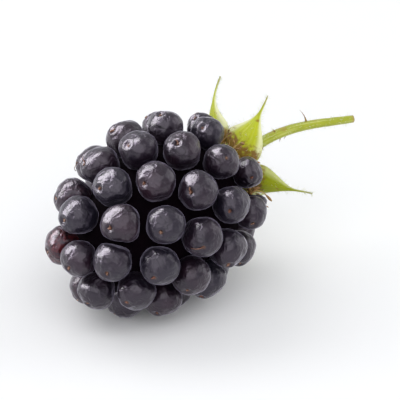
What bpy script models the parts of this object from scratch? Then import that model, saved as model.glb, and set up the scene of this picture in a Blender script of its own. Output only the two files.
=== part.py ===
"""Bramble berry, picked and lying on its side: fruit, ring of dried stamens, five sepals and pedicel.

Metres, +Z up. Seen from above, +X runs along the berry's axis from its tip to its stalk. The origin is on
the surface that the berry lies on, under the middle of its box.

The fruit is shaped in its own frame: X along its axis towards the stalk, Z upmost, the origin at its middle.
The empty fruit_axis carries that frame and lays it on the surface. The calyx has a frame of its own, carried
by the empty calyx_axis: X along the pedicel's first stretch, with the origin where the fruit ends.
"""

import math

import bmesh
import bpy
import numpy as np
from mathutils import Matrix, Vector

# The egg on which the drupelets' centres lie, fuller towards the stalk
HALF_LENGTH = 0.0102
HALF_WIDTH = 0.0075
FULLNESS = 0.11

# The drupelets grow in one spiral, from the stalk end to the tip. The calyx sits on its first place
SPIRAL_PLACES = 56
UNDER_CALYX = 1
FIRST_POLAR = math.radians(17.5)
DIVERGENCE = math.radians(-137.9)
NEIGHBOURS = 4
SIDE_SHARE = 0.51
HEIGHT_SHARE = 0.445

# The first drupelets, next to the calyx, stay smaller. The difference fades along the spiral
SMALLER_SHARE = 0.30
SMALLER_PLACES = 14

# What the drupelets grew together on
CORE_DEPTH = 0.0008
NECK_RADIUS = 0.0020

# How finely the round pieces are divided
EGG_STEPS = 600
CORE_DIVISIONS = (20, 12)
DRUPELET_DIVISIONS = (11, 8)
CYLINDER_SIDES = 24
STAMEN_RING_DIVISIONS = (28, 6)
SHARP_ANGLE = math.radians(50)
WELD = 0.000001

# How it lies: on the drupelets at these three places, each pressed a little flat
RESTING = (25, 33, 38)
PRESSED = 0.0002
FLOOR_CUTTER = (0.06, 0.06, 0.004)

# Where the calyx sits on the fruit: a little above its axis, and tilted up
CALYX_PLACE = (0.0080, -0.0004, 0.00015)
CALYX_TILT = math.radians(2)

# Along the calyx's axis: the fruit's flattened seat, the ring of stamens and the calyx's flat base, whose
# profile gives heights in its thickness and radii in its radius
SEAT_RADIUS = 0.0043
NECK_LENGTH = 0.005
NECK_END = 0.0008
STAMEN_RING = 0.0005
STAMEN_RING_RADIUS = 0.0031
STAMEN_RING_WIDTH = 0.0012
STAMEN_RING_HEIGHT = 0.0004
CALYX_BASE = 0.0011
CALYX_RADIUS = 0.0025
CALYX_THICKNESS = 0.0005
CALYX_PROFILE = ((0, 1), (1, 1), (1.6, 0.55), (2.6, 0.28))

# The sepals: the first one's turn round the calyx's axis, then each one's length, rise, curl, lean and the
# turn by which it stands out of its even place
SEPAL_ROOT = 0.0028
SEPAL_HALF_WIDTH = 0.0018
SEPAL_THICKNESS = 0.0004
SEPAL_FIRST_TURN = math.radians(-34)
SEPALS = (
    (0.0060, 34, 8, 24, -6),
    (0.0058, 40, 20, -29, -8),
    (0.0057, 38, -8, -6, 0),
    (0.0052, 38, 20, -8, -2),
    (0.0056, 48, 8, 6, -4),
)
SEPAL_CUPPING = 0.25
SEPAL_ROWS = 9
SEPAL_COLUMNS = 4

# The pedicel, thinner towards its cut end
PEDICEL_LENGTH = 0.0134
PEDICEL_RADIUS = 0.00056
PEDICEL_END_RADIUS = 0.00036
PEDICEL_BEND = 0.011
PEDICEL_YAW = math.radians(-22)
PEDICEL_PITCH = math.radians(-16)
PEDICEL_POINTS = 18
PEDICEL_FLARE = 0.2
PEDICEL_FLARE_LENGTH = 0.0012


def clear_scene():
    for old in list(bpy.data.objects):
        bpy.data.objects.remove(old, do_unlink=True)


def collection(name):
    made = bpy.data.collections.new(name)
    bpy.context.scene.collection.children.link(made)
    return made


def material(name, colour, roughness):
    made = bpy.data.materials.new(name)
    made.use_nodes = True
    shader = made.node_tree.nodes["Principled BSDF"]
    shader.inputs["Base Color"].default_value = (*colour, 1)
    shader.inputs["Roughness"].default_value = roughness
    shader.inputs["Metallic"].default_value = 0
    return made


def new_object(name, data, group, parent, finish=None):
    made = bpy.data.objects.new(name, data)
    group.objects.link(made)
    made.parent = parent
    if finish:
        data.materials.append(finish)
    return made


def mesh_of(name, bm):
    """The bmesh as mesh data, shaded smooth except at its sharp edges."""
    bmesh.ops.recalc_face_normals(bm, faces=bm.faces)
    data = bpy.data.meshes.new(name)
    bm.to_mesh(data)
    bm.free()
    data.shade_smooth()
    data.set_sharp_from_angle(angle=SHARP_ANGLE)
    return data


def helper(obj):
    """Marks an object that only cuts or joins others."""
    obj.hide_render = True
    obj.display_type = "WIRE"
    return obj


def egg_point(polar, turn, depth=0.0):
    """A point of the egg, depth inside it. Polar angles start at the stalk end; turn 0 is up, then to -Y."""
    along = (HALF_LENGTH - depth) * math.cos(polar)
    out = (HALF_WIDTH - depth) * math.sin(polar) * (1 + FULLNESS * math.cos(polar))
    return Vector((along, -out * math.sin(turn), out * math.cos(turn)))


def polar_angles():
    """The places' polar angles, which give each an equal share of the egg's surface."""
    polar = np.linspace(FIRST_POLAR, math.pi, EGG_STEPS)
    around = np.sin(polar) * (1 + FULLNESS * np.cos(polar))
    along = np.hypot(HALF_LENGTH * np.sin(polar), HALF_WIDTH * np.cos(polar))
    share = around * along
    total = np.concatenate([[0], np.cumsum((share[1:] + share[:-1]) / 2)])
    return np.interp((np.arange(SPIRAL_PLACES) + 0.5) / SPIRAL_PLACES, total / total[-1], polar)


def resting_direction(centres):
    """The direction, in the fruit's frame, that is down when the fruit lies on its resting drupelets."""
    first, second, third = (centres[i] for i in RESTING)
    down = (second - first).cross(third - first).normalized()
    return down if down.dot(first) > 0 else -down


def drupelet_places():
    """Each place's centre on the spiral, the way it faces and the spacing that sets its drupelet's size."""
    centres = [egg_point(polar, DIVERGENCE * i) for i, polar in enumerate(polar_angles())]
    down = resting_direction(centres)
    undermost = Matrix.Rotation(math.pi - math.atan2(-down.y, down.z), 3, "X")
    centres = [undermost @ centre for centre in centres]
    squares = Vector((HALF_LENGTH**2, HALF_WIDTH**2, HALF_WIDTH**2))
    places = []
    for number, centre in enumerate(centres):
        facing = Vector([a / b for a, b in zip(centre, squares)]).normalized()
        gaps = sorted((other - centre).length for other in centres)[1 : NEIGHBOURS + 1]
        grown = 1 - SMALLER_SHARE * math.exp(-number / SMALLER_PLACES)
        places.append((centre, facing, grown * sum(gaps) / NEIGHBOURS))
    return places


def half_sizes(spacing):
    """A drupelet's half width and half height."""
    return SIDE_SHARE * spacing, HEIGHT_SHARE * spacing


def resting_frame(places):
    """The fruit's frame as it lies: tilted until its resting drupelets are level, and lifted onto them."""
    down = resting_direction([centre for centre, _, _ in places])
    lows = []
    for i in RESTING:
        centre, facing, spacing = places[i]
        wide, high = half_sizes(spacing)
        steep = facing.dot(down)
        lows.append(centre.dot(down) + math.sqrt(wide**2 * (1 - steep**2) + high**2 * steep**2))
    lift = sum(lows) / len(lows) - PRESSED
    return Matrix.Translation((0, 0, lift)) @ Matrix.Rotation(math.asin(down.x), 4, "Y")


def make_core(group, parent, finish):
    """The fruit starts as its core, and the drupelets are joined to it."""
    bm = bmesh.new()
    around, along = CORE_DIVISIONS
    lengthwise = Matrix.Rotation(math.pi / 2, 4, "Y")
    bmesh.ops.create_uvsphere(bm, u_segments=around, v_segments=along, radius=1, matrix=lengthwise)
    for vert in bm.verts:
        polar = math.acos(max(-1, min(1, vert.co.x)))
        vert.co = egg_point(polar, math.atan2(-vert.co.y, vert.co.z), CORE_DEPTH)
    return new_object("fruit", mesh_of("fruit", bm), group, parent, finish)


def make_drupelets(places, group, parent):
    around, along = DRUPELET_DIVISIONS
    for number, (centre, facing, spacing) in enumerate(places[UNDER_CALYX:], 1):
        wide, high = half_sizes(spacing)
        bm = bmesh.new()
        bmesh.ops.create_uvsphere(bm, u_segments=around, v_segments=along, radius=1)
        bmesh.ops.scale(bm, vec=(wide, wide, high), verts=bm.verts)
        made = new_object(f"drupelet_{number:02d}", mesh_of("drupelet", bm), group, parent)
        made.matrix_local = Matrix.Translation(centre) @ facing.to_track_quat("Z", "Y").to_matrix().to_4x4()
        helper(made)


def cylinder(name, start, end, radius, group, parent):
    """A plain cylinder round the calyx's axis, from start to end along it."""
    bm = bmesh.new()
    placed = Matrix.Translation(((start + end) / 2, 0, 0)) @ Matrix.Rotation(math.pi / 2, 4, "Y")
    sizes = {"radius1": radius, "radius2": radius, "depth": end - start}
    bmesh.ops.create_cone(bm, cap_ends=True, segments=CYLINDER_SIDES, matrix=placed, **sizes)
    return helper(new_object(name, mesh_of(name, bm), group, parent))


def floor_cutter(group, parent):
    """The space under the surface that the berry lies on."""
    bm = bmesh.new()
    bmesh.ops.create_cube(bm, size=1)
    bmesh.ops.scale(bm, vec=FLOOR_CUTTER, verts=bm.verts)
    made = helper(new_object("under_surface", mesh_of("under_surface", bm), group, parent))
    made.location.z = -FLOOR_CUTTER[2] / 2
    return made


def boolean(obj, operation, operand):
    modifier = obj.modifiers.new(operation.title(), "BOOLEAN")
    modifier.operation = operation
    modifier.solver = "EXACT"
    if isinstance(operand, bpy.types.Collection):
        modifier.operand_type = "COLLECTION"
        modifier.collection = operand
    else:
        modifier.object = operand


def make_stamen_ring(group, parent, finish):
    """The flat band of dried stamens under the sepals: an oval section turned round the axis."""
    around, sides = STAMEN_RING_DIVISIONS
    bm = bmesh.new()
    section = Matrix.Translation((STAMEN_RING, STAMEN_RING_RADIUS, 0))
    bmesh.ops.create_circle(bm, segments=sides, radius=0.5, matrix=section)
    for vert in bm.verts:
        vert.co.x = STAMEN_RING + (vert.co.x - STAMEN_RING) * STAMEN_RING_HEIGHT
        vert.co.y = STAMEN_RING_RADIUS + (vert.co.y - STAMEN_RING_RADIUS) * STAMEN_RING_WIDTH
    turned = {"cent": (0, 0, 0), "axis": (1, 0, 0), "angle": math.tau, "steps": around}
    bmesh.ops.spin(bm, geom=bm.verts[:] + bm.edges[:], use_merge=True, **turned)
    bmesh.ops.remove_doubles(bm, verts=bm.verts, dist=WELD)
    return new_object("stamen_ring", mesh_of("stamen_ring", bm), group, parent, finish)


def sepal_half_width(share):
    """Broad at the root and drawn out to a fine point."""
    return SEPAL_HALF_WIDTH * (0.05 + 0.95 * (1 - share) ** 1.6 * (1 + 2.2 * share))


def make_sepal(number, turn, shape, group, parent, finish):
    """One sepal: its midrib leaves the calyx at its rise and curls on, leaning to one side."""
    length, rise, curl, lean, _ = shape
    bm = bmesh.new()
    bmesh.ops.create_grid(bm, x_segments=SEPAL_ROWS, y_segments=SEPAL_COLUMNS, size=0.5)
    midrib = [Vector((CALYX_BASE + CALYX_THICKNESS / 2, 0, SEPAL_ROOT))]
    normals = []
    for row in range(SEPAL_ROWS + 1):
        share = row / SEPAL_ROWS
        pitch = math.radians(rise + curl * share)
        side = math.radians(lean) * share
        ahead = Vector((math.sin(pitch), -math.sin(side), math.cos(pitch) * math.cos(side)))
        midrib.append(midrib[-1] + ahead.normalized() * length / SEPAL_ROWS)
        normals.append(Vector((math.cos(pitch), 0, -math.sin(pitch))))
    for vert in bm.verts:
        row = round((vert.co.x + 0.5) * SEPAL_ROWS)
        across = 2 * vert.co.y
        half = sepal_half_width(row / SEPAL_ROWS)
        cupped = SEPAL_CUPPING * half * across**2
        vert.co = midrib[row] + Vector((0, half * across, 0)) + normals[row] * cupped
    made = new_object(f"sepal_{number}", mesh_of("sepal", bm), group, parent, finish)
    made.rotation_euler.x = turn
    shell = made.modifiers.new("Thickness", "SOLIDIFY")
    shell.thickness = SEPAL_THICKNESS
    shell.offset = 0
    return made


def pedicel_route():
    """Points and radii from the calyx's flat base, along the axis and then bending aside and down."""
    route = []
    for thicknesses, share in CALYX_PROFILE:
        route.append((Vector((CALYX_BASE + thicknesses * CALYX_THICKNESS, 0, 0)), share * CALYX_RADIUS))
    step = PEDICEL_LENGTH / PEDICEL_POINTS
    point = route[-1][0].copy()
    for i in range(1, PEDICEL_POINTS + 1):
        bent = min(1, i * step / PEDICEL_BEND)
        bent = bent * bent * (3 - 2 * bent)
        yaw, pitch = PEDICEL_YAW * bent, PEDICEL_PITCH * bent
        point = point + step * Vector((math.cos(yaw) * math.cos(pitch), math.sin(yaw), math.sin(pitch)))
        flare = PEDICEL_FLARE * math.exp(-i * step / PEDICEL_FLARE_LENGTH)
        radius = PEDICEL_RADIUS + (PEDICEL_END_RADIUS - PEDICEL_RADIUS) * i / PEDICEL_POINTS
        route.append((point, radius * (1 + flare)))
    return route


def make_pedicel(group, parent, finish):
    """The pedicel and the flat base of the calyx, which is its widened end."""
    curve = bpy.data.curves.new("pedicel", "CURVE")
    curve.dimensions = "3D"
    curve.bevel_depth = 1
    curve.bevel_resolution = 4
    curve.use_fill_caps = True
    route = pedicel_route()
    spline = curve.splines.new("POLY")
    spline.points.add(len(route) - 1)
    for point, (place, radius) in zip(spline.points, route):
        point.co = (*place, 1)
        point.radius = radius
    spline.use_smooth = True
    return new_object("pedicel", curve, group, parent, finish)


def centre_on_origin(root, parts):
    """Moves the root so that the middle of the whole object's box is over the origin."""
    bpy.context.view_layer.update()
    graph = bpy.context.evaluated_depsgraph_get()
    points = []
    for part in parts:
        evaluated = part.evaluated_get(graph)
        mesh = evaluated.to_mesh()
        points += [evaluated.matrix_world @ vert.co for vert in mesh.vertices]
        evaluated.to_mesh_clear()
    low = Vector([min(point[i] for point in points) for i in range(2)])
    high = Vector([max(point[i] for point in points) for i in range(2)])
    root.location.xy = -(low + high) / 2


def main():
    clear_scene()
    berry = collection("bramble_berry")
    cutters = collection("cutters")
    joined = collection("drupelets")
    skin = material("drupelet_skin", (0.018, 0.010, 0.020), 0.22)
    green = material("sepal_green", (0.42, 0.52, 0.10), 0.55)
    stalk = material("pedicel_green", (0.45, 0.55, 0.12), 0.55)
    tan = material("dried_stamens", (0.40, 0.20, 0.07), 0.8)

    places = drupelet_places()
    root = new_object("bramble_berry", None, berry, None)
    axis = new_object("fruit_axis", None, berry, root)
    axis.matrix_local = resting_frame(places)
    calyx = new_object("calyx_axis", None, berry, axis)
    calyx.location = CALYX_PLACE
    calyx.rotation_euler.y = -CALYX_TILT

    fruit = make_core(berry, axis, skin)
    make_drupelets(places, joined, axis)
    boolean(fruit, "UNION", joined)
    boolean(fruit, "DIFFERENCE", cylinder("seat_cutter", 0, NECK_LENGTH, SEAT_RADIUS, cutters, calyx))
    boolean(fruit, "UNION", cylinder("neck", -NECK_LENGTH, NECK_END, NECK_RADIUS, cutters, calyx))
    boolean(fruit, "DIFFERENCE", floor_cutter(cutters, root))

    parts = [fruit, make_stamen_ring(berry, calyx, tan), make_pedicel(berry, calyx, stalk)]
    for number, shape in enumerate(SEPALS):
        turn = SEPAL_FIRST_TURN + math.tau * number / len(SEPALS) + math.radians(shape[-1])
        parts.append(make_sepal(number + 1, turn, shape, berry, calyx, green))
    centre_on_origin(root, parts)


main()
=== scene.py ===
"""The looks of the bramble berry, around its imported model.

Metres, +Z up. The fruit is shaped in its own frame, X along its axis towards the pedicel and Z upmost.
The calyx has a frame of its own on the fruit, X along the pedicel's first stretch.
"""

import math

import bmesh
import bpy
import numpy as np
from mathutils import Matrix, Vector, noise


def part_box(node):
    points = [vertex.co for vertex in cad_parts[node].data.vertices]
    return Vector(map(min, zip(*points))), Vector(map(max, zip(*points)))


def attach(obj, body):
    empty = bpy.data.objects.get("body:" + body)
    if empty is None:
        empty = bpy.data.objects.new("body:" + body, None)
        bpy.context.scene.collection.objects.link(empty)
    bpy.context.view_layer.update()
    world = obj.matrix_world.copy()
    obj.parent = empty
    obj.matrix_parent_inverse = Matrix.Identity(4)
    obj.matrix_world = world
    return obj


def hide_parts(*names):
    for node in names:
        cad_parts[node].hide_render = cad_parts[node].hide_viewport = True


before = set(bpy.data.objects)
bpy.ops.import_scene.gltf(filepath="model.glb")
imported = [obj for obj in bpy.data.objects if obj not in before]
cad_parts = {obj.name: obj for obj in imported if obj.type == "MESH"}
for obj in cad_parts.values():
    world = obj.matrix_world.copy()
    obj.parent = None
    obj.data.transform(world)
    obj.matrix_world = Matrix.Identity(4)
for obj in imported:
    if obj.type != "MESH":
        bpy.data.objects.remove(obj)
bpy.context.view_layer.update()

# The fruit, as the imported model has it: the egg of the drupelets' centres, their spiral and how they lie
HALF_LENGTH = 0.0102
HALF_WIDTH = 0.0075
FULLNESS = 0.11
SPIRAL_PLACES = 56
UNDER_CALYX = 1
FIRST_POLAR = math.radians(17.5)
DIVERGENCE = math.radians(-137.9)
NEIGHBOURS = 4
SIDE_SHARE = 0.51
HEIGHT_SHARE = 0.445
SMALLER_SHARE = 0.30
SMALLER_PLACES = 14
EGG_STEPS = 600
RESTING = (25, 33, 38)
PRESSED = 0.0002

# The calyx and pedicel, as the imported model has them
CALYX_PLACE = (0.0080, -0.0004, 0.00015)
CALYX_TILT = math.radians(2)
STAMEN_RING = 0.0005
CALYX_BASE = 0.0011
CALYX_THICKNESS = 0.0005
SEPAL_ROOT = 0.0028
SEPAL_FIRST_TURN = math.radians(-34)
SEPALS = (
    (0.0060, 34, 8, 24, -6),
    (0.0058, 40, 20, -29, -8),
    (0.0057, 38, -8, -6, 0),
    (0.0052, 38, 20, -8, -2),
    (0.0056, 48, 8, 6, -4),
)
PEDICEL_LENGTH = 0.0134
PEDICEL_RADIUS = 0.00056
PEDICEL_END_RADIUS = 0.00036
PEDICEL_BEND = 0.011
PEDICEL_YAW = math.radians(-22)
PEDICEL_PITCH = math.radians(-16)

# A drupelet's skin: rounder than an ellipsoid, and flattened softly where it meets its neighbours
SWELL = 0.935
SQUARENESS = 2.25
SOFTNESS = 13
CREASE = 0.00025
TOUCHING = 1.7
AROUND, RINGS = 56, 30
OUTER_RINGS, OUTER_POLAR = 23, math.radians(108)
WRINKLES = ((650, 0.00011), (1700, 0.00005))

# Unripe drupelets, still red, and how red
REDNESS = {53: 0.9, 48: 0.5, 51: 0.2, 43: 0.25, 45: 0.15}

# The seat under the stamens and sepals, which holds down what grows there, and the gap kept above the floor
SEAT = 0.00015
SEAT_RIM, SEAT_FLARE, SEAT_GIVE = 0.0041, 1.6, 0.04
SURFACE_GAP = 0.00001

# Dried styles: where each grew from its drupelet, in a small pit with a raised lip
STYLE_LEAN, STYLE_SCATTER = (0.8, 1.3), 0.15
MIDDLE_STYLES = {13: 0.45, 16: 0.7, 21: 0.75, 29: 0.75}
PIT_DEPTH, PIT_WIDTH, PIT_STAIN = 0.00022, 0.15, 0.16
LIP_HEIGHT, LIP_PLACE, LIP_WIDTH = 0.00006, 0.29, 0.09

# Their strands, which are stubs or now and then threads: how far they sweep over the skin and their profiles
THREAD_CHANCE = 0.04
STRANDS_EACH = (1, 4)
STYLE_RADIUS = 0.00008
STYLE_POINTS, STYLE_AROUND = 9, 8
STUB_SWEEP, THREAD_SWEEP = (0.05, 0.16), (0.3, 0.7)
STUB_PROFILE, THREAD_PROFILE = (1.1, 1.5, 1.2, 0.8, 0.9), (0.8, 0.9, 0.5, 0.35, 0.7)
STRAND_TO_TIP, STRAND_ASIDE = 0.4, 0.6
STRAND_RISE, STRAND_ARCH, STRAND_HALF_WAVES = 0.3, 1.3, 0.85
STRAND_HEIGHTS, STRAND_WIDTHS, STRAND_SUNK = (0.6, 1.5), (0.5, 1.0), 3
CRUMPLE_SCALE, CRUMPLE_HEIGHT = 8000, 0.8

# What the drupelets grew on: its depth under their centres, the polar angle at its ends, and its roughness
CORE_DEPTH = 0.0012
CORE_END = 0.12
CORE_RINGS, CORE_AROUND = 70, 90
CORE_ROUGHNESS = (1100, 0.03)

# Dried stamens: how many, where they start, how long and bent they are, with a few strays, and their profile,
# as points along them with shares of their thickness
STAMENS, STAMEN_SHIFT = 200, 0.4
STAMEN_START, STAMEN_DEPTHS = 0.0027, (-0.0002, 0.0003)
STAMEN_LENGTH, STAMEN_SHARES = 0.0025, (0.45, 1.0)
STRAY_CHANCE, STRAY_SHARE = 0.04, 1.4
STAMEN_PITCHES, STAMEN_DROOPS = (-0.4, 0.5), (0.05, 0.45)
STAMEN_CURL = 0.5
STAMEN_STEPS, STAMEN_POINTS, STAMEN_AROUND = 5, 11, 6
STAMEN_THICKNESS, STAMEN_WIDTHS = 0.00007, (0.7, 1.3)
STAMEN_PROFILE = ((0, 1), (7, 0.55), (8.2, 1.5), (9.5, 1.6), (10, 0.6))
STAMEN_RISE = 0.0010

# Sepals: their blade's outline in shares of their length, their root, whose half width keeps to a fifth of
# the cup, and their section
SEPAL_HALF_WIDTH = 0.00178
BLADE_NARROWS, BLADE_ENDS = 0.08, 0.80
BLADE_SWELL, BLADE_WAVES = 0.10, 1.6
TAIL_SHARE, TAIL_WIDTH, TAIL_TAPER = 0.05, 0.00024, 0.45
SEPAL_TUCK, TUCK_WAY, TUCK_STEPS = 0.0014, (0.1, 0, 1.0), 24
MIDRIB_STEPS, MIDRIB_SMOOTHINGS = 200, 3
SEPAL_ROOM = math.tan(math.pi / 5)
SEPAL_THICKNESS, SEPAL_THINNEST, SEPAL_THINS = 0.00011, 0.45, (1.2, 0.1)
SEPAL_CUPPING, SEPAL_EDGE_CURL = 0.22, 0.12
MIDRIB_DEPTH, MIDRIB_WIDTH = 0.00005, 0.12
WAVE_SCALE, WAVE_HEIGHT, WAVE_AT_MIDDLE, WAVE_STARTS = 420, 0.00012, 0.35, (-0.1, 0.3)
SEPAL_ROWS, SEPAL_AROUND = 64, 32

# For each sepal, how its tail curls up, aside and round in degrees, and how much painted shade darkens its
# green
SEPAL_TAILS = ((10, 0, 0), (-10, 10, 0), (0, 0, 0), (15, 20, 20), (20, -15, -20))
TAIL_RISES, TAIL_LEANS, TAIL_TWISTS = (0.45, 1.15), (0.5, 1.15), (0.2, 1.1)
SEPAL_SHADES = (0.0, 0.15, 0.85, 0.6, 0.4)

# The calyx's cup, as places along its axis with radii
CUP_POINTS = 40
CUP_PROFILE = (
    (-0.0015, 0.0018),
    (-0.0001, 0.0020),
    (0.0002, 0.0029),
    (0.0005, 0.0033),
    (0.0009, 0.0032),
    (0.0013, 0.0027),
    (0.0017, 0.0019),
    (0.0021, 0.0011),
    (0.0024, 0.0007),
)

# The pedicel's skin, and its dished cut end, as places past the end with shares of the end's radius
PEDICEL_ROWS, PEDICEL_AROUND = 150, 30
PEDICEL_FLARE, PEDICEL_FLARE_LENGTH = 0.3, 0.0009
PEDICEL_ROUGHNESS = (1500, 0.00002)
RIDGE_HEIGHT, RIDGES, RIDGE_SHARE = 0.05, 5, 0.35
STREAK_RADIUS, STREAK_SCALE = 3.2, 260
PEDICEL_DISH = ((0.00003, 0.93), (0.00004, 0.78), (-0.00008, 0.35))
BROWNED_ROWS, MOST_BROWNED = 5, 0.7

# Prickles: place along the pedicel, turn from upmost in degrees, and length, and their profile, as places
# along them with shares of their radius
PRICKLES = (
    (0.22, 120, 0.0004),
    (0.36, 10, 0.0005),
    (0.40, 160, 0.0004),
    (0.46, 185, 0.0005),
    (0.63, -15, 0.0013),
    (0.68, 260, 0.0004),
    (0.83, 200, 0.0003),
)
PRICKLE_RADIUS, PRICKLE_LEAN, PRICKLE_FOOT = 0.00010, 0.45, 0.8
PRICKLE_POINTS, PRICKLE_AROUND = 7, 8
PRICKLE_PROFILE = ((0, 1.7), (0.2, 0.8), (0.5, 0.4), (1, 0.12))

# Down: the hairs' size, bend and profile, how many there are, and the first rows of the skins that carry them
HAIR_LENGTH, HAIR_RADIUS, HAIR_BEND = 0.0004, 0.000013, 0.25
HAIR_PROFILE = ((-0.1, 1), (0.35, 0.9), (0.7, 0.7), (1.0, 0.3))
HAIRS_ON_SEPAL, HAIRS_AT_EDGE, SEPAL_DOWN_ROW = 170, 0.6, 8
SEPAL_HAIR_SHARES, SEPAL_HAIR_OUT, SEPAL_HAIR_AHEAD, SEPAL_HAIR_SCATTER = (0.5, 1.2), 0.5, 0.5, 0.3
HAIRS_ON_PEDICEL, PEDICEL_DOWN_ROW = 320, 44
PEDICEL_HAIR_SHARES, PEDICEL_HAIR_SCATTER = (0.4, 1.0), 0.35

# The seeds of the random draws
STYLE_SEED, TONE_SEED, STRAND_SEED, STAMEN_SEED, SEPAL_DOWN_SEED, PEDICEL_DOWN_SEED = 7, 7, 11, 5, 3, 13

# How high the materials' bumps stand
SKIN_WRINKLES, SKIN_GRAIN, CORE_BUMPS = 0.00022, 0.000012, 0.00008
STYLE_BUMPS, STAMEN_BUMPS, PEDICEL_BUMPS = 0.00003, 0.00002, 0.00005
VEIN_BUMPS, SEPAL_BUMPS = 0.00003, 0.00004

# Colours. A pair is mixed by noise
SKIN_DARK = ((0.0040, 0.0012, 0.0036), (0.0210, 0.0060, 0.0120))
SKIN_BLUISH = (0.0065, 0.0065, 0.0125)
SKIN_RED = ((0.008, 0.001, 0.002), (0.085, 0.006, 0.007))
PIT_BROWN = (0.10, 0.045, 0.02)
# The core's colours are near black: painted shade deep in the gaps between the drupelets
CORE_PAINTED_SHADE = ((0.0014, 0.0008, 0.0018), (0.0048, 0.0018, 0.0036))
STYLE_RUST = ((0.05, 0.016, 0.012), (0.26, 0.085, 0.050))
STYLE_TAN = ((0.22, 0.10, 0.06), (0.50, 0.30, 0.20))
STYLE_END = (0.07, 0.025, 0.012)
STAMEN_TONES = ((0.0, (0.25, 0.12, 0.025)), (0.5, (0.46, 0.27, 0.06)), (1.0, (0.64, 0.46, 0.15)))
ANTHER = (0.27, 0.13, 0.035)
SEPAL_LIGHT = ((0.46, 0.54, 0.008), (0.64, 0.67, 0.030))
# The pair below is the sepals' green darkened as painted shade, mixed in by each sepal's shade value
SEPAL_SHADED = ((0.21, 0.26, 0.001), (0.36, 0.41, 0.002))
SEPAL_VEIN, SEPAL_EDGE, SEPAL_TIP = (0.60, 0.63, 0.14), (0.82, 0.83, 0.48), (0.42, 0.36, 0.14)
SEPAL_FLECK, SEPAL_STAIN = (0.30, 0.12, 0.03), (0.24, 0.11, 0.03)
PEDICEL_GREEN = ((0.29, 0.33, 0.015), (0.42, 0.45, 0.04))
PEDICEL_STREAK, PEDICEL_BLUSH = (0.62, 0.65, 0.22), (0.36, 0.20, 0.06)
CUP_GREEN = ((0.42, 0.50, 0.008), (0.58, 0.62, 0.025))
CUP_BROWN = (0.26, 0.12, 0.035)
CUT_WOOD = ((0.30, 0.15, 0.06), (0.50, 0.34, 0.17))
DOWN_PALE = ((0.70, 0.74, 0.48), (0.86, 0.86, 0.68))
PRICKLE_TONES = ((0.0, (0.30, 0.22, 0.04)), (0.5, (0.24, 0.10, 0.035)), (1.0, (0.40, 0.28, 0.14)))
FLOOR_SIZE, FLOOR_COLOUR = 3, (0.93, 0.93, 0.94, 1)

# Lights: name, direction, distance, width, height, radiance and the way that the width runs, if not level
WORLD_COLOUR, WORLD_STRENGTH = (0.96, 0.98, 1.0, 1), 0.54
KEY_DIRECTION, KEY_ACROSS = (-0.32, 0.65, 0.69), (0.75, -0.24, 0.61)
LIGHTS = (
    ("front", (-0.52, -0.50, 0.70), 0.60, 0.80, 0.70, 1.4, None),
    ("key", KEY_DIRECTION, 0.40, 0.52, 0.17, 1.4, KEY_ACROSS),
    ("gleam", KEY_DIRECTION, 0.39, 0.58, 0.25, 11.5, KEY_ACROSS),
    ("side", (0.80, -0.42, 0.42), 0.50, 0.40, 0.40, 1.3, None),
)
ONLY_REFLECTED = "gleam"

# The camera, at the photo's viewing angle
VIEW_AZIMUTH = math.radians(-44.2)
VIEW_ELEVATION = math.radians(30)
VIEW_DISTANCE = 0.30
VIEW_WIDTH = 0.038
VIEW_CENTRE = (0.0, 0.0, 0.008)
CLIP_START, CLIP_END = 0.01, 10


def egg_points(polar, turn, depth=0.0):
    """Points of the egg, depth inside it. Polar angles start at the pedicel; turn 0 is up, then to -Y."""
    along = (HALF_LENGTH - depth) * np.cos(polar)
    out = (HALF_WIDTH - depth) * np.sin(polar) * (1 + FULLNESS * np.cos(polar))
    return np.stack([along, -out * np.sin(turn), out * np.cos(turn)], axis=-1)


def polar_angles():
    """The places' polar angles, which give each an equal share of the egg's surface."""
    polar = np.linspace(FIRST_POLAR, math.pi, EGG_STEPS)
    around = np.sin(polar) * (1 + FULLNESS * np.cos(polar))
    along = np.hypot(HALF_LENGTH * np.sin(polar), HALF_WIDTH * np.cos(polar))
    share = around * along
    total = np.concatenate([[0], np.cumsum((share[1:] + share[:-1]) / 2)])
    return np.interp((np.arange(SPIRAL_PLACES) + 0.5) / SPIRAL_PLACES, total / total[-1], polar)


def resting_direction(centres):
    """The direction, in the fruit's frame, that is down when the fruit lies on its resting drupelets."""
    first, second, third = (centres[i] for i in RESTING)
    down = unit(np.cross(second - first, third - first))
    return down if down @ first > 0 else -down


def unit(vectors):
    return vectors / np.linalg.norm(vectors, axis=-1, keepdims=True)


def interpolated(places, profile):
    """Values of a profile, which is pairs of places and values, at other places."""
    return np.interp(places, *zip(*profile))


def turned(points, matrix):
    """Points taken through a matrix, with its move if it has one."""
    matrix = np.array(matrix)
    moved = np.asarray(points) @ matrix[:3, :3].T
    return moved + matrix[:3, 3] if matrix.shape == (4, 4) else moved


def drupelet_places():
    """The places' centres, the way each faces and the spacing that sets its drupelet's size."""
    centres = egg_points(polar_angles(), DIVERGENCE * np.arange(SPIRAL_PLACES))
    down = resting_direction(centres)
    undermost = Matrix.Rotation(math.pi - math.atan2(-down[1], down[2]), 3, "X")
    centres = turned(centres, undermost)
    facings = unit(centres / np.array([HALF_LENGTH, HALF_WIDTH, HALF_WIDTH]) ** 2)
    gaps = np.linalg.norm(centres[:, None] - centres[None], axis=-1)
    spacings = np.sort(gaps, axis=1)[:, 1 : NEIGHBOURS + 1].mean(axis=1)
    grown = 1 - SMALLER_SHARE * np.exp(-np.arange(SPIRAL_PLACES) / SMALLER_PLACES)
    return centres, facings, grown * spacings


def reaches(facings, spacings, direction):
    """How far each drupelet reaches from its centre in one direction."""
    steep = facings @ direction
    wide, high = SIDE_SHARE * spacings, HEIGHT_SHARE * spacings
    return np.sqrt(wide**2 * (1 - steep**2) + high**2 * steep**2)


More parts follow.
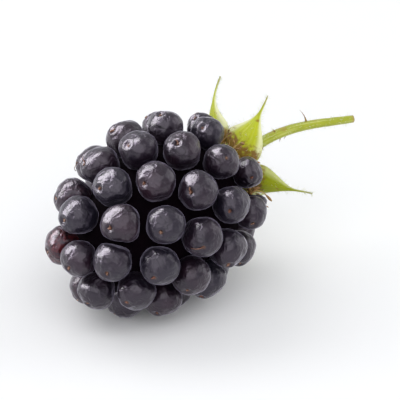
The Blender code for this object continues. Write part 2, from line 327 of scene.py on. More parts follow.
def lying_frame(centres, facings, spacings):
    """The fruit's frame as it lies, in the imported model's place."""
    down = resting_direction(centres)
    lows = centres @ down + reaches(facings, spacings, down)
    tilt = Matrix.Rotation(math.asin(down[0]), 4, "Y")
    lift = lows[list(RESTING)].mean() - PRESSED
    low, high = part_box("fruit")
    grown = slice(UNDER_CALYX, None)
    lain = turned(centres, tilt)[grown]
    toward_x = reaches(turned(facings, tilt), spacings, np.array([1.0, 0, 0]))[grown]
    toward_y = reaches(turned(facings, tilt), spacings, np.array([0, 1.0, 0]))[grown]
    x = low[0] - (lain[:, 0] - toward_x).min()
    y = (low[1] + high[1]) / 2 - ((lain[:, 1] - toward_y).min() + (lain[:, 1] + toward_y).max()) / 2
    return Matrix.Translation((x, y, lift)) @ tilt


CENTRES, FACINGS, SPACINGS = drupelet_places()
LYING = lying_frame(CENTRES, FACINGS, SPACINGS)
CALYX = LYING @ Matrix.Translation(CALYX_PLACE) @ Matrix.Rotation(-CALYX_TILT, 4, "Y")
INTO_CALYX = CALYX.inverted() @ LYING


class Skin:
    """Gathers closed bodies into one mesh, with named values at their points."""

    def __init__(self, *values):
        self.vertices, self.faces, self.count = [], [], 0
        self.values = {name: [] for name in values}

    def add(self, vertices, faces, **values):
        self.vertices.append(vertices)
        self.faces += [tuple(i + self.count for i in face) for face in faces]
        self.count += len(vertices)
        for name, kept in self.values.items():
            kept.append(np.broadcast_to(values[name], len(vertices)))

    def make(self, name, material, slot, *replaced):
        """The visible piece, which rides on the one body and stands for the CAD nodes it replaces."""
        mesh = bpy.data.meshes.new(name)
        mesh.from_pydata(np.concatenate(self.vertices).tolist(), [], self.faces)
        for value, kept in self.values.items():
            layer = mesh.attributes.new(value, "FLOAT", "POINT")
            layer.data.foreach_set("value", np.concatenate(kept).astype(np.float32))
        bm = bmesh.new()
        bm.from_mesh(mesh)
        bmesh.ops.recalc_face_normals(bm, faces=bm.faces)
        bm.to_mesh(mesh)
        bm.free()
        mesh.shade_smooth()
        mesh.materials.append(material)
        piece = bpy.data.objects.new(name, mesh)
        bpy.context.scene.collection.objects.link(piece)
        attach(piece, "root")
        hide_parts(*replaced)


def loft(rings):
    """Vertices and faces of a closed skin through rings of points, drawn to a point at each end."""
    count, around = rings.shape[:2]
    vertices = np.concatenate([rings.reshape(-1, 3), rings[[0, -1]].mean(axis=1)])
    faces = []
    for start in range(0, (count - 1) * around, around):
        for i in range(around):
            j = (i + 1) % around
            faces.append((start + i, start + j, start + around + j, start + around + i))
    last = (count - 1) * around
    for i in range(around):
        j = (i + 1) % around
        faces.append((j, i, count * around))
        faces.append((last + i, last + j, count * around + 1))
    return vertices, faces


def tube(path, radii, around):
    """Rings of points round a path, each turned as little as it can be from the one before."""
    path = np.asarray(path, dtype=float)
    ahead = unit(np.gradient(path, axis=0))
    side = unit(np.cross(ahead[0], [0.31, 0.17, 0.93]))
    angles = np.linspace(0, math.tau, around, endpoint=False)
    rings = []
    for point, along, radius in zip(path, ahead, np.broadcast_to(radii, len(path))):
        side = unit(side - along * (side @ along))
        up = np.cross(along, side)
        rings.append(point + radius * (np.cos(angles)[:, None] * side + np.sin(angles)[:, None] * up))
    return np.array(rings)


def along_tube(count, around):
    """The place along a lofted tube, from 0 to 1, of each of its vertices."""
    return np.append(np.repeat(np.linspace(0, 1, count), around), [0, 1])


def smooth_path(points, count):
    """A smooth path of count points through a few."""
    points = np.asarray(points, dtype=float)
    padded = np.concatenate([[2 * points[0] - points[1]], points, [2 * points[-1] - points[-2]]])
    made = []
    for place in np.linspace(0, len(points) - 1, count):
        i = min(int(place), len(points) - 2)
        t = place - i
        a, b, c, d = padded[i : i + 4]
        squared, cubed = 2 * a - 5 * b + 4 * c - d, 3 * b - a - 3 * c + d
        made.append(0.5 * (2 * b + (c - a) * t + squared * t**2 + cubed * t**3))
    return np.array(made)


def smoothstep(low, high, value):
    share = np.clip((value - low) / (high - low), 0, 1)
    return share * share * (3 - 2 * share)


def roughened(points, scale, shift=0.0):
    """Smooth noise from about -1 to 1 at each point."""
    moved = np.asarray(points).reshape(-1, 3) * scale + shift
    return np.array([noise.noise(Vector(point)) for point in moved.tolist()])


def style_directions(chance):
    """Where each drupelet's style grew: a little towards the fruit's tip from the way it faces."""
    steps = chance.uniform(*STYLE_LEAN, (SPIRAL_PLACES, 1))
    for number, step in MIDDLE_STYLES.items():
        steps[number] = step
    lean = np.array([-1.0, 0, 0]) * steps
    lean = lean + chance.normal(0, STYLE_SCATTER, CENTRES.shape)
    return unit(FACINGS + lean)


def drupelet_directions():
    """Directions to one drupelet's points about +Z, closer together on its outer side."""
    outer = np.linspace(0, OUTER_POLAR, OUTER_RINGS + 1)[1:]
    inner = np.linspace(OUTER_POLAR, math.pi, RINGS - OUTER_RINGS + 1)[1:-1]
    polar = np.concatenate([[outer[0] / 3], outer, inner])[:, None]
    turn = np.linspace(0, math.tau, AROUND, endpoint=False)[None]
    out, along = np.sin(polar), np.cos(polar) * np.ones_like(turn)
    return np.stack([out * np.cos(turn), out * np.sin(turn), along], axis=-1)


def skin_radii(number, ways, style):
    """How far one drupelet's skin is from its centre, each way."""
    centre, facing, spacing = CENTRES[number], FACINGS[number], SPACINGS[number]
    steep = ways @ facing
    flat = np.sqrt(np.clip(1 - steep**2, 0, 1))
    wide, high = SWELL * SIDE_SHARE * spacing, HEIGHT_SHARE * spacing
    free = ((flat / wide) ** SQUARENESS + (np.abs(steep) / high) ** SQUARENESS) ** (-1 / SQUARENESS)
    inverse = free**-SOFTNESS
    for other in range(UNDER_CALYX, SPIRAL_PLACES):
        apart = CENTRES[other] - centre
        distance = np.linalg.norm(apart)
        if 0 < distance < TOUCHING * spacing:
            toward = np.clip(ways @ (apart / distance), 0, 1)
            inverse += (toward / (distance / 2 - CREASE)) ** SOFTNESS
    from_style = np.arccos(np.clip(ways @ style, -1, 1))
    pit = PIT_DEPTH * np.exp(-((from_style / PIT_WIDTH) ** 2))
    lip = LIP_HEIGHT * np.exp(-(((from_style - LIP_PLACE) / LIP_WIDTH) ** 2))
    return inverse ** (-1 / SOFTNESS) - pit + lip


def seated(points):
    """The lying fruit's points, kept under the seat that the stamens and sepals cover."""
    points = turned(points, INTO_CALYX)
    out = np.hypot(points[..., 1], points[..., 2])
    most = -SEAT + SEAT_FLARE * np.clip(out - SEAT_RIM, 0, None)
    over = points[..., 0] - most
    points[..., 0] = most + np.where(over > 0, over * SEAT_GIVE, over)
    return turned(points, CALYX)


def drupelet_points(number, directions, style):
    """One drupelet's rings of points, as the fruit lies."""
    basis = Vector(FACINGS[number]).to_track_quat("Z", "Y").to_matrix()
    ways = turned(directions.reshape(-1, 3), basis)
    points = CENTRES[number] + ways * skin_radii(number, ways, style)[:, None]
    for scale, height in WRINKLES:
        points = points + ways * (height * roughened(points, scale))[:, None]
    points = seated(points)
    points[:, 2] = np.maximum(points[:, 2], SURFACE_GAP)
    return points.reshape(directions.shape)


def make_drupelets(material, styles):
    """All drupelets in one mesh, each closed, with a tone of its own and a stain in its pit."""
    chance = np.random.default_rng(TONE_SEED)
    directions = drupelet_directions()
    skin = Skin("tone", "redness", "pit")
    for number in range(UNDER_CALYX, SPIRAL_PLACES):
        vertices, faces = loft(drupelet_points(number, directions, styles[number]))
        ways = unit(turned(vertices, LYING.inverted()) - CENTRES[number])
        from_style = np.arccos(np.clip(ways @ styles[number], -1, 1))
        pit = np.exp(-((from_style / PIT_STAIN) ** 2))
        redness = REDNESS.get(number, 0.0)
        skin.add(vertices, faces, tone=chance.uniform(), redness=redness, pit=pit)
    skin.make("drupelets", material, "drupelet_skin", "fruit")


def make_core(material):
    """The middle that the drupelets grew on, seen only deep between them."""
    polar = np.linspace(CORE_END, math.pi - CORE_END, CORE_RINGS)[:, None]
    turn = np.linspace(0, math.tau, CORE_AROUND, endpoint=False)[None]
    rings = egg_points(polar * np.ones_like(turn), turn * np.ones_like(polar), CORE_DEPTH)
    scale, height = CORE_ROUGHNESS
    rough = roughened(rings, scale).reshape(rings.shape[:2])
    skin = Skin()
    skin.add(*loft(seated(rings * (1 + height * rough)[..., None])))
    skin.make("core", material, "drupelet_skin", "fruit")


def style_strand(number, style, thread, chance):
    """One crumpled strand, from its drupelet's pit out over the skin, and each point's place along it."""
    ahead = unit(np.cross(style, chance.normal(0, 1, 3)))
    to_tip = unit(np.array([-1.0, 0, 0]) - style * -style[0])
    ahead = unit(ahead + to_tip * STRAND_TO_TIP)
    sweep = chance.uniform(*(THREAD_SWEEP if thread else STUB_SWEEP))
    shares = np.linspace(0, 1, STYLE_POINTS)
    angles = sweep * shares
    aside = np.cross(style, ahead) * chance.normal(0, STRAND_ASIDE)
    ways = unit(
        np.cos(angles)[:, None] * style
        + np.sin(angles)[:, None] * ahead
        + (np.sin(angles) * shares)[:, None] * aside
    )
    arch = STRAND_RISE + STRAND_ARCH * np.sin(shares * math.pi * STRAND_HALF_WAVES)
    height = STYLE_RADIUS * arch * chance.uniform(*STRAND_HEIGHTS)
    radii = skin_radii(number, ways, style) + height
    path = CENTRES[number] + ways * radii[:, None]
    path = np.concatenate([[CENTRES[number] + style * (radii[0] - STRAND_SUNK * STYLE_RADIUS)], path])
    stations = [0, 1.5, 4, len(path) - 2, len(path) - 1]
    thick = np.interp(np.arange(len(path)), stations, THREAD_PROFILE if thread else STUB_PROFILE)
    thick = STYLE_RADIUS * chance.uniform(*STRAND_WIDTHS) * thick
    vertices, faces = loft(turned(tube(path, thick, STYLE_AROUND), LYING))
    crumple = np.stack([roughened(vertices, CRUMPLE_SCALE, shift) for shift in (0.0, 31.0, 57.0)], axis=1)
    vertices = vertices + crumple * STYLE_RADIUS * CRUMPLE_HEIGHT
    vertices[:, 2] = np.maximum(vertices[:, 2], SURFACE_GAP)
    return vertices, faces, along_tube(len(path), STYLE_AROUND)


def make_styles(material, styles):
    """What is left of the dried styles: crumpled stubs in the pits, and now and then a thread on the skin."""
    chance = np.random.default_rng(STRAND_SEED)
    skin = Skin("along", "tone")
    for number in range(UNDER_CALYX, SPIRAL_PLACES):
        tone = chance.uniform()
        for _ in range(chance.integers(*STRANDS_EACH)):
            thread = chance.uniform() < THREAD_CHANCE
            vertices, faces, along = style_strand(number, styles[number], thread, chance)
            skin.add(vertices, faces, along=along, tone=tone)
    skin.make("dried_styles", material, "dried_stamens", "fruit")


def make_stamens(material):
    """Dried stamens round the calyx, curled back over the drupelets, each with a small anther."""
    chance = np.random.default_rng(STAMEN_SEED)
    axis = np.array([1, 0, 0])
    skin = Skin("along", "tone")
    for number in range(STAMENS):
        turn = math.tau * (number + chance.uniform(-STAMEN_SHIFT, STAMEN_SHIFT)) / STAMENS
        stray = chance.uniform() <= STRAY_CHANCE
        long = STAMEN_LENGTH * (STRAY_SHARE if stray else chance.uniform(*STAMEN_SHARES))
        out = np.array([0, math.sin(turn), math.cos(turn)])
        around = np.array([0, math.cos(turn), -math.sin(turn)])
        curl = chance.normal(0, STAMEN_CURL)
        points = [out * STAMEN_START + axis * (STAMEN_RING + chance.uniform(*STAMEN_DEPTHS))]
        pitch = chance.uniform(*STAMEN_PITCHES)
        for step in range(STAMEN_STEPS):
            ahead = math.cos(pitch) * out + math.sin(curl * step / 2) * around - math.sin(pitch) * axis
            points.append(points[-1] + unit(ahead) * long / STAMEN_STEPS)
            pitch += chance.uniform(*STAMEN_DROOPS)
        points = np.array(points)
        far = np.hypot(points[:, 1], points[:, 2])
        least = SEAT_FLARE * (far - SEAT_RIM) + STAMEN_THICKNESS
        points[:, 0] = np.maximum(points[:, 0], np.clip(least, STAMEN_THICKNESS, STAMEN_RISE))
        path = smooth_path(points, STAMEN_POINTS)
        profile = interpolated(np.arange(STAMEN_POINTS), STAMEN_PROFILE)
        thick = STAMEN_THICKNESS * chance.uniform(*STAMEN_WIDTHS) * profile
        vertices, faces = loft(turned(tube(path, thick, STAMEN_AROUND), CALYX))
        along = along_tube(STAMEN_POINTS, STAMEN_AROUND)
        skin.add(vertices, faces, along=along, tone=chance.uniform())
    skin.make("stamens", material, "dried_stamens", "stamen_ring")


def sepal_midrib(shape, tail, count):
    """Points along a sepal's middle from inside the cup to its tip, the way ahead and the share at each."""
    length, rise, curl, lean, _ = shape
    share = np.linspace(0, 1 + TAIL_SHARE, MIDRIB_STEPS)
    pitch = np.radians(rise + curl * share) + math.radians(tail[0]) * smoothstep(*TAIL_RISES, share)
    side = math.radians(lean) * share + math.radians(tail[1]) * smoothstep(*TAIL_LEANS, share)
    ahead = unit(np.stack([np.sin(pitch), -np.sin(side), np.cos(pitch) * np.cos(side)], axis=1))
    root = np.array([CALYX_BASE + CALYX_THICKNESS / 2, 0, SEPAL_ROOT])
    step = length * (share[1] - share[0])
    beyond = root + np.concatenate([[np.zeros(3)], np.cumsum(ahead[:-1] * step, axis=0)])
    tucked = np.linspace(-SEPAL_TUCK, 0, TUCK_STEPS)[:-1]
    inward = root + tucked[:, None] * np.array(TUCK_WAY)
    path = np.concatenate([inward, beyond])
    places = np.concatenate([tucked / length, share])
    wanted = np.linspace(places[0], places[-1], count)
    points = np.stack([np.interp(wanted, places, path[:, i]) for i in range(3)], axis=1)
    for _ in range(MIDRIB_SMOOTHINGS):
        points[1:-1] = (points[:-2] + 2 * points[1:-1] + points[2:]) / 4
    return points, unit(np.gradient(points, axis=0)), wanted


def sepal_half_widths(share, length):
    """Half a sepal's width along it: broad, then quickly narrower to a drawn-out tail."""
    blade = 1 - smoothstep(BLADE_NARROWS, BLADE_ENDS, share)
    swell = 1 + BLADE_SWELL * np.sin(np.clip(share, 0, 1) * math.pi * BLADE_WAVES)
    tail = TAIL_WIDTH * np.clip((1 + TAIL_SHARE - share) / (1 + TAIL_SHARE), 0, 1) ** TAIL_TAPER
    half = SEPAL_HALF_WIDTH * blade * swell + tail
    fifth = SEPAL_ROOM * (SEPAL_ROOT + share * length)
    return np.where(share < 0, np.minimum(half, fifth), half)


def sepal_surface(number):
    """A sepal's rings of points, with each one's place along it, across it and towards its outer side."""
    points, ahead, share = sepal_midrib(SEPALS[number], SEPAL_TAILS[number], SEPAL_ROWS)
    twist = math.radians(SEPAL_TAILS[number][2]) * smoothstep(*TAIL_TWISTS, share)
    across = unit(np.array([0, 1.0, 0]) - ahead * ahead[:, 1:2])
    normal = np.cross(across, ahead)
    across, normal = (
        across * np.cos(twist)[:, None] + normal * np.sin(twist)[:, None],
        normal * np.cos(twist)[:, None] - across * np.sin(twist)[:, None],
    )
    half = sepal_half_widths(share, SEPALS[number][0])[:, None]
    angle = np.linspace(0, math.tau, SEPAL_AROUND, endpoint=False)[None]
    over = np.cos(angle) * np.ones_like(half)
    thick = SEPAL_THINNEST + (1 - SEPAL_THINNEST) * smoothstep(*SEPAL_THINS, share)
    thick = SEPAL_THICKNESS * thick[:, None]
    cupped = half * (SEPAL_CUPPING * over**2 + SEPAL_EDGE_CURL * over**6)
    cupped = cupped - MIDRIB_DEPTH * np.exp(-((over / MIDRIB_WIDTH) ** 2))
    rings = (
        points[:, None]
        + across[:, None] * (half * over)[..., None]
        + normal[:, None] * (cupped + thick * np.sin(angle))[..., None]
    )
    wave = roughened(rings + number, WAVE_SCALE).reshape(rings.shape[:2])
    wave = wave * WAVE_HEIGHT * (WAVE_AT_MIDDLE + over**2) * smoothstep(*WAVE_STARTS, share)[:, None]
    rings = rings + normal[:, None] * wave[..., None]
    turn = SEPAL_FIRST_TURN + math.tau * number / len(SEPALS) + math.radians(SEPALS[number][-1])
    placed = CALYX @ Matrix.Rotation(turn, 4, "X")
    outer = 0.5 + 0.5 * np.sin(angle) * np.ones_like(half)
    return turned(rings, placed), share[:, None] * np.ones_like(over), over, outer


def make_sepals(material):
    """A thin blade for each sepal."""
    for number in range(len(SEPALS)):
        rings, share, over, outer = sepal_surface(number)
        skin = Skin("along", "across", "outer", "shade")
        vertices, faces = loft(rings)
        along = np.append(share.ravel(), share[[0, -1], 0])
        across = np.append(np.abs(over).ravel(), [0, 0])
        outer = np.append(outer.ravel(), [0.5, 0.5])
        skin.add(vertices, faces, along=along, across=across, outer=outer, shade=SEPAL_SHADES[number])
        name = f"sepal_{number + 1}"
        skin.make(f"{name}_blade", material, "sepal_green", name)


def hair(skin, base, way, length, chance):
    """One fine hair, bending a little."""
    side = unit(np.cross(way, chance.normal(0, 1, 3)))
    shares, widths = np.array(HAIR_PROFILE).T
    path = [base + way * length * t + side * length * HAIR_BEND * t * t for t in shares]
    skin.add(*loft(tube(path, HAIR_RADIUS * widths, 3)))


def make_sepal_down(material):
    """Short pale hairs, thickest along the sepals' edges."""
    chance = np.random.default_rng(SEPAL_DOWN_SEED)
    skin = Skin()
    for number in range(len(SEPALS)):
        rings, share, over, _ = sepal_surface(number)
        middle = rings.mean(axis=1)
        for _ in range(HAIRS_ON_SEPAL):
            row = int(chance.integers(SEPAL_DOWN_ROW, SEPAL_ROWS - 1))
            if chance.uniform() < HAIRS_AT_EDGE:
                column = int(chance.choice([0, SEPAL_AROUND // 2])) + int(chance.integers(-1, 2))
            else:
                column = int(chance.integers(0, SEPAL_AROUND))
            column %= SEPAL_AROUND
            point = rings[row, column]
            outward = unit(np.cross(rings[row + 1, column] - point, rings[row, column - 1] - point))
            outward = outward if outward @ (point - middle[row]) > 0 else -outward
            edge = unit(point - middle[row]) * abs(over[row, column]) ** 4
            forward = unit(rings[row + 1, column] - point)
            way = outward * SEPAL_HAIR_OUT + edge + forward * SEPAL_HAIR_AHEAD
            way = unit(way + chance.normal(0, SEPAL_HAIR_SCATTER, 3))
            hair(skin, point, way, HAIR_LENGTH * chance.uniform(*SEPAL_HAIR_SHARES), chance)
    skin.make("sepal_down", material, "sepal_green", "sepal_1")


def pedicel_route(count):
    """Points along the cup's axis from inside the fruit, then along the pedicel, and each one's radius."""
    straight = np.linspace(CUP_PROFILE[0][0], CUP_PROFILE[-1][0], CUP_POINTS)
    base = interpolated(straight, CUP_PROFILE)
    steps = np.linspace(0, PEDICEL_LENGTH, count)
    bent = smoothstep(0, PEDICEL_BEND, steps)
    yaw, pitch = PEDICEL_YAW * bent, PEDICEL_PITCH * bent
    ahead = np.stack([np.cos(yaw) * np.cos(pitch), np.sin(yaw), np.sin(pitch)], axis=1)
    stalk = np.cumsum(ahead[1:], axis=0) * (steps[1] - steps[0]) + np.array([straight[-1], 0, 0])
    tapered = np.interp(steps[1:], [0, PEDICEL_LENGTH], [PEDICEL_RADIUS, PEDICEL_END_RADIUS])
    radii = tapered * (1 + PEDICEL_FLARE * np.exp(-steps[1:] / PEDICEL_FLARE_LENGTH))
    path = np.concatenate([np.stack([straight, 0 * straight, 0 * straight], axis=1), stalk])
    return path, np.concatenate([base, radii])


def make_pedicel(material):
    """The calyx's cup and the pedicel as one skin, faintly ridged, with a dished cut at its end."""
    path, radii = pedicel_route(PEDICEL_ROWS)
    end, ahead = path[-1], unit(path[-1] - path[-2])
    path = np.concatenate([path, [end + ahead * past for past, _ in PEDICEL_DISH]])
    radii = np.concatenate([radii, [PEDICEL_END_RADIUS * share for _, share in PEDICEL_DISH]])
    rings = tube(path, radii, PEDICEL_AROUND)
    turn = np.linspace(0, math.tau, PEDICEL_AROUND, endpoint=False)
    along = np.concatenate([[0], np.cumsum(np.linalg.norm(np.diff(path, axis=0), axis=1))])
    lines = np.stack([np.cos(turn), np.sin(turn), 0 * turn], axis=1) * STREAK_RADIUS
    streaks = np.array([roughened(lines + [0, 0, place * STREAK_SCALE], 1.0) for place in along])
    ridges = RIDGE_SHARE * np.cos(RIDGES * turn)[None] + streaks
    outward = rings - path[:, None]
    rings = path[:, None] + outward * (1 + RIDGE_HEIGHT * ridges)[..., None]
    scale, height = PEDICEL_ROUGHNESS
    rings = rings + unit(outward) * (height * roughened(rings, scale).reshape(ridges.shape))[..., None]
    share = (along / along[-1])[:, None] * np.ones_like(ridges)
    cut = np.zeros_like(ridges)
    dish = len(PEDICEL_DISH)
    cut[-dish:] = 1
    cut[-dish - BROWNED_ROWS : -dish] = np.linspace(0, MOST_BROWNED, BROWNED_ROWS)[:, None]
    skin = Skin("along", "streak", "cut")
    vertices, faces = loft(turned(rings, CALYX))
    values = {"along": share, "streak": streaks, "cut": cut}
    skin.add(vertices, faces, **{name: np.append(v.ravel(), v[[0, -1], 0]) for name, v in values.items()})
    skin.make("pedicel_stalk", material, "pedicel_green", "pedicel")


def make_pedicel_down(material):
    """Short pale hairs that stand out all round the pedicel."""
    chance = np.random.default_rng(PEDICEL_DOWN_SEED)
    path, radii = pedicel_route(PEDICEL_ROWS)
    path = turned(path, CALYX)
    ahead = unit(np.gradient(path, axis=0))
    skin = Skin()
    for _ in range(HAIRS_ON_PEDICEL):
        row = int(chance.integers(PEDICEL_DOWN_ROW, len(path) - 2))
        out = unit(np.cross(ahead[row], chance.normal(0, 1, 3)))
        way = unit(out + ahead[row] * chance.normal(0, PEDICEL_HAIR_SCATTER))
        length = HAIR_LENGTH * chance.uniform(*PEDICEL_HAIR_SHARES)
        hair(skin, path[row] + out * radii[row], way, length, chance)
    skin.make("pedicel_down", material, "pedicel_green", "pedicel")


def make_prickles(material):
    """Small soft prickles on the pedicel, each leaning back towards the fruit."""
    path, radii = pedicel_route(PEDICEL_ROWS)
    path = turned(path, CALYX)
    ahead = unit(np.gradient(path, axis=0))
    skin = Skin("along")
    for place, turn, length in PRICKLES:
        row = int(CUP_POINTS + place * (len(path) - CUP_POINTS - 1))
        side = unit(np.cross(ahead[row], [0, 0, 1.0]))
        up = np.cross(side, ahead[row])
        out = up * math.cos(math.radians(turn)) + side * math.sin(math.radians(turn))
        base = path[row] + out * radii[row] * PRICKLE_FOOT
        shares = np.linspace(0, 1, PRICKLE_POINTS)
        points = [base + out * length * t - ahead[row] * length * PRICKLE_LEAN * t * t for t in shares]
        thick = PRICKLE_RADIUS * interpolated(shares, PRICKLE_PROFILE)
        vertices, faces = loft(tube(points, thick, PRICKLE_AROUND))
        skin.add(vertices, faces, along=along_tube(PRICKLE_POINTS, PRICKLE_AROUND))
    skin.make("prickles", material, "pedicel_green", "pedicel")


class Graph:
    """Adds shader nodes to one material, each fed by values or by other nodes' outputs."""

    def __init__(self, name, **sockets):
        self.material = bpy.data.materials.new(name)
        self.material.use_nodes = True
        self.nodes = self.material.node_tree.nodes
        self.links = self.material.node_tree.links
        self.surface = self.nodes["Principled BSDF"]
        self.set(self.surface, {socket.replace("_", " "): value for socket, value in sockets.items()})
        self.place = self.node("ShaderNodeTexCoord").outputs["Object"]

    def set(self, node, sockets):
        for name, value in sockets.items():
            if isinstance(value, bpy.types.NodeSocket):
                self.links.new(value, node.inputs[name])
            else:
                node.inputs[name].default_value = value

    def node(self, kind, settings=(), **sockets):
        made = self.nodes.new(kind)
        for name, value in dict(settings).items():
            setattr(made, name, value)
        self.set(made, {name.replace("_", " "): value for name, value in sockets.items()})
        return made

    def noise(self, scale, detail=3.0, roughness=0.5, distortion=0.0):
        made = self.node(
            "ShaderNodeTexNoise",
            Vector=self.place,
            Scale=scale,
            Detail=detail,
            Roughness=roughness,
            Distortion=distortion,
        )
        return made.outputs["Fac"]

    def attribute(self, name):
        return self.node("ShaderNodeAttribute", {"attribute_name": name}).outputs["Fac"]

    def ramp(self, value, *stops):
        made = self.node("ShaderNodeValToRGB", Fac=value)
        elements = made.color_ramp.elements
        while len(elements) < len(stops):
            elements.new(0.5)
        for element, (place, colour) in zip(elements, stops):
            element.position = place
            element.color = (*colour, 1) if isinstance(colour, tuple) else (colour, colour, colour, 1)
        return made.outputs["Color"]

    def math(self, operation, first, second=0.0, third=0.0):
        made = self.node("ShaderNodeMath", {"operation": operation})
        for socket, value in zip(made.inputs, (first, second, third)):
            if isinstance(value, bpy.types.NodeSocket):
                self.links.new(value, socket)
            else:
                socket.default_value = value
        return made.outputs["Value"]

    def mix(self, share, first, second):
        made = self.node("ShaderNodeMix", {"data_type": "RGBA", "clamp_factor": True})
        for socket, value in ((made.inputs[0], share), (made.inputs[6], first), (made.inputs[7], second)):
            if isinstance(value, bpy.types.NodeSocket):
                self.links.new(value, socket)
            else:
                socket.default_value = (*value, 1) if isinstance(value, tuple) else value
        return made.outputs[2]

    def bump(self, height, distance, under=None):
        sockets = {"Height": height, "Distance": distance, "Strength": 1.0}
        if under is not None:
            sockets["Normal"] = under
        return self.node("ShaderNodeBump", **sockets).outputs["Normal"]

    def finish(self, **sockets):
        self.set(self.surface, {name.replace("_", " "): value for name, value in sockets.items()})
        return self.material


def skin_material():
    """Thin glossy skin, near black, from purple to bluish, brown in its pit and red where it is unripe."""
    graph = Graph(
        "drupelet_skin",
        IOR=1.50,
        Coat_Weight=0.35,
        Coat_Roughness=0.15,
        Specular_Tint=(0.92, 0.79, 1.0, 1),
        Sheen_Weight=0.45,
        Sheen_Roughness=0.28,
        Sheen_Tint=(0.82, 0.74, 1.0, 1),
    )
    broad = graph.noise(420, 2.0)
    fine = graph.noise(2600, 4.0, 0.6)
    grain = graph.noise(9000, 2.0)
    dark = graph.mix(graph.ramp(broad, (0.35, 0.0), (0.7, 1.0)), *SKIN_DARK)
    dark = graph.mix(graph.attribute("tone"), dark, SKIN_BLUISH)
    red = graph.mix(graph.ramp(fine, (0.4, 0.0), (0.62, 1.0)), *SKIN_RED)
    colour = graph.mix(graph.attribute("redness"), dark, red)
    colour = graph.mix(graph.ramp(graph.attribute("pit"), (0.45, 0.0), (0.8, 0.75)), colour, PIT_BROWN)
    roughness = graph.ramp(fine, (0.3, 0.27), (0.75, 0.42))
    wrinkled = graph.bump(graph.noise(1300, 2.0, 0.5, 0.8), SKIN_WRINKLES)
    grained = graph.bump(grain, SKIN_GRAIN, wrinkled)
    return graph.finish(Base_Color=colour, Roughness=roughness, Normal=grained)


def core_material():
    """The flesh deep between the drupelets, coloured near black and without gloss as painted shade for the
    gaps.
    """
    graph = Graph("core_painted_shade", Roughness=0.9, Specular_IOR_Level=0.02)
    colour = graph.mix(graph.noise(1500), *CORE_PAINTED_SHADE)
    return graph.finish(Base_Color=colour, Normal=graph.bump(graph.noise(3000), CORE_BUMPS))


def style_material():
    """Dry tan to rust brown, with darker ends."""
    graph = Graph("dried_style", Roughness=0.6)
    rust = graph.mix(graph.noise(4000, 2.0), *STYLE_RUST)
    tan = graph.mix(graph.noise(3000, 2.0), *STYLE_TAN)
    dry = graph.mix(graph.attribute("tone"), rust, tan)
    ends = graph.ramp(graph.attribute("along"), (0.0, 0.75), (0.35, 0.0), (0.8, 0.2), (1.0, 0.7))
    colour = graph.mix(ends, dry, STYLE_END)
    return graph.finish(Base_Color=colour, Normal=graph.bump(graph.noise(9000), STYLE_BUMPS))


def stamen_material():
    """Dry filaments, straw to rust brown, with brown anthers."""
    graph = Graph("dried_stamen", Roughness=0.7)
    dry = graph.ramp(graph.attribute("tone"), *STAMEN_TONES)
    anther = graph.ramp(graph.attribute("along"), (0.68, 0.0), (0.78, 0.8))
    colour = graph.mix(anther, dry, ANTHER)
    return graph.finish(Base_Color=colour, Normal=graph.bump(graph.noise(8000), STAMEN_BUMPS))


def sepal_material():
    """Soft yellow-green with veins, paler at the edges, and stained brown inside at the base. Painted shade
    darkens the green of sepals that lie in shadow and dims their pale veins and edges.
    """
    looks = {"Roughness": 0.68, "Specular_IOR_Level": 0.2, "Sheen_Weight": 0.05, "Sheen_Roughness": 0.5}
    graph = Graph("sepal_skin", **looks)
    along, across, shade = (graph.attribute(name) for name in ("along", "across", "shade"))
    light = graph.mix(graph.noise(900, 3.0), *SEPAL_LIGHT)
    deep = graph.mix(graph.noise(700, 3.0), *SEPAL_SHADED)
    # Painted shade: each sepal's shade value mixes in the darker green
    green = graph.mix(shade, light, deep)
    vein = graph.math("SINE", graph.math("MULTIPLY", across, 24.0))
    vein = graph.math("MULTIPLY_ADD", vein, 0.5, 0.5)
    vein = graph.math("MULTIPLY", vein, graph.ramp(graph.noise(1600), (0.3, 0.3), (0.7, 1.0)))
    # The painted shade also dims the pale veins and, further on, the pale edges
    pale = graph.math("MULTIPLY", vein, graph.math("MULTIPLY_ADD", shade, -0.22, 0.35))
    green = graph.mix(pale, green, SEPAL_VEIN)
    edge = graph.ramp(across, (0.60, 0.0), (0.84, 1.0))
    edge = graph.math("MULTIPLY", edge, graph.math("MULTIPLY_ADD", shade, -0.75, 1.0))
    edge = graph.math("MULTIPLY", edge, graph.ramp(along, (0.04, 0.0), (0.22, 1.0)))
    colour = graph.mix(edge, green, SEPAL_EDGE)
    flecks = graph.ramp(graph.noise(1100, 2.0), (0.66, 0.0), (0.74, 0.8))
    colour = graph.mix(flecks, colour, SEPAL_FLECK)
    mottled = graph.math("MULTIPLY_ADD", graph.noise(2400, 2.0), -0.5, along)
    stained = graph.ramp(graph.math("ADD", mottled, 0.25), (0.10, 0.9), (0.24, 0.0))
    inside = graph.ramp(graph.attribute("outer"), (0.3, 1.0), (0.5, 0.0))
    colour = graph.mix(graph.math("MULTIPLY", stained, inside), colour, SEPAL_STAIN)
    tip = graph.ramp(along, (0.85, 0.0), (1.0, 0.6))
    colour = graph.mix(tip, colour, SEPAL_TIP)
    veined = graph.bump(vein, VEIN_BUMPS)
    return graph.finish(Base_Color=colour, Normal=graph.bump(graph.noise(4000, 4.0), SEPAL_BUMPS, veined))


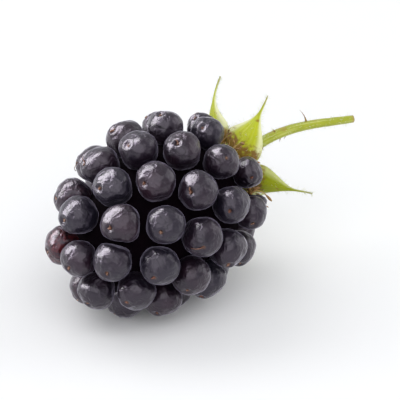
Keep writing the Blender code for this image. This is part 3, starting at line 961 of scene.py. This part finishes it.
def pedicel_material():
    """Yellow-green with pale and reddish streaks, brown at the cut, with the cup as green as the sepals."""
    looks = {"Roughness": 0.55, "Specular_IOR_Level": 0.3, "Sheen_Weight": 0.1, "Sheen_Roughness": 0.5}
    graph = Graph("pedicel_skin", **looks)
    along, streak, cut = (graph.attribute(name) for name in ("along", "streak", "cut"))
    green = graph.mix(graph.noise(1200, 3.0), *PEDICEL_GREEN)
    green = graph.mix(graph.ramp(streak, (0.1, 0.0), (0.55, 0.6)), green, PEDICEL_STREAK)
    blush = graph.ramp(graph.noise(650, 2.0), (0.60, 0.0), (0.75, 0.55))
    green = graph.mix(blush, green, PEDICEL_BLUSH)
    cup = graph.ramp(along, (0.16, 0.9), (0.25, 0.0))
    green = graph.mix(cup, green, graph.mix(graph.noise(900, 3.0), *CUP_GREEN))
    ringed = graph.ramp(along, (0.085, 1.0), (0.105, 0.0))
    green = graph.mix(ringed, green, CUP_BROWN)
    wood = graph.mix(graph.noise(5000), *CUT_WOOD)
    colour = graph.mix(cut, green, wood)
    return graph.finish(Base_Color=colour, Normal=graph.bump(graph.noise(3500, 4.0), PEDICEL_BUMPS))


def down_material():
    """Pale, for all the down."""
    graph = Graph("pale_down", Roughness=0.6)
    colour = graph.mix(graph.noise(800), *DOWN_PALE)
    return graph.finish(Base_Color=colour)


def prickle_material():
    """Green at the foot, then reddish brown, with a paler point."""
    graph = Graph("prickle_skin", Roughness=0.45)
    return graph.finish(Base_Color=graph.ramp(graph.attribute("along"), *PRICKLE_TONES))


def make_floor():
    """A plain pale surface for the berry to lie on."""
    bpy.ops.mesh.primitive_plane_add(size=FLOOR_SIZE)
    floor = bpy.context.object
    floor.name = "floor"
    floor.data.materials.append(Graph("pale_floor", Base_Color=FLOOR_COLOUR, Roughness=0.8).material)


def area_light(name, direction, distance, width, height, radiance, across):
    """A soft rectangular light, aimed at the berry, with its width level or along a given way across."""
    data = bpy.data.lights.new(name, "AREA")
    data.shape = "RECTANGLE"
    data.size, data.size_y = width, height
    data.energy = radiance * math.pi * width * height
    light = bpy.data.objects.new(name, data)
    bpy.context.scene.collection.objects.link(light)
    away = Vector(direction).normalized()
    light.location = away * distance
    wide = Vector(across or (-away.y, away.x, 0))
    wide = (wide - away * wide.dot(away)).normalized()
    light.rotation_euler = Matrix((wide, away.cross(wide), away)).transposed().to_euler()
    return light


def make_lights():
    """Plain soft studio light. The gleam shows only in glossy reflections."""
    world = bpy.data.worlds.new("studio")
    bpy.context.scene.world = world
    world.use_nodes = True
    background = world.node_tree.nodes["Background"]
    background.inputs["Color"].default_value = WORLD_COLOUR
    background.inputs["Strength"].default_value = WORLD_STRENGTH
    for name, *settings in LIGHTS:
        light = area_light(name, *settings)
        light.visible_diffuse = name != ONLY_REFLECTED


def make_camera():
    """A long lens that takes in VIEW_WIDTH at VIEW_DISTANCE."""
    data = bpy.data.cameras.new("camera")
    data.lens = data.sensor_width * VIEW_DISTANCE / VIEW_WIDTH
    data.clip_start, data.clip_end = CLIP_START, CLIP_END
    camera = bpy.data.objects.new("camera", data)
    bpy.context.scene.collection.objects.link(camera)
    level = math.cos(VIEW_ELEVATION)
    across, away = math.sin(VIEW_AZIMUTH) * level, -math.cos(VIEW_AZIMUTH) * level
    back = Vector((across, away, math.sin(VIEW_ELEVATION)))
    camera.location = Vector(VIEW_CENTRE) + back * VIEW_DISTANCE
    camera.rotation_euler = back.to_track_quat("Z", "Y").to_euler()
    bpy.context.scene.camera = camera


bpy.context.scene.view_settings.view_transform = "Standard"
make_camera()
make_lights()
make_floor()
styles = style_directions(np.random.default_rng(STYLE_SEED))
make_drupelets(skin_material(), styles)
make_core(core_material())
make_styles(style_material(), styles)
make_stamens(stamen_material())
make_sepals(sepal_material())
make_pedicel(pedicel_material())
make_prickles(prickle_material())
down = down_material()
make_sepal_down(down)
make_pedicel_down(down)
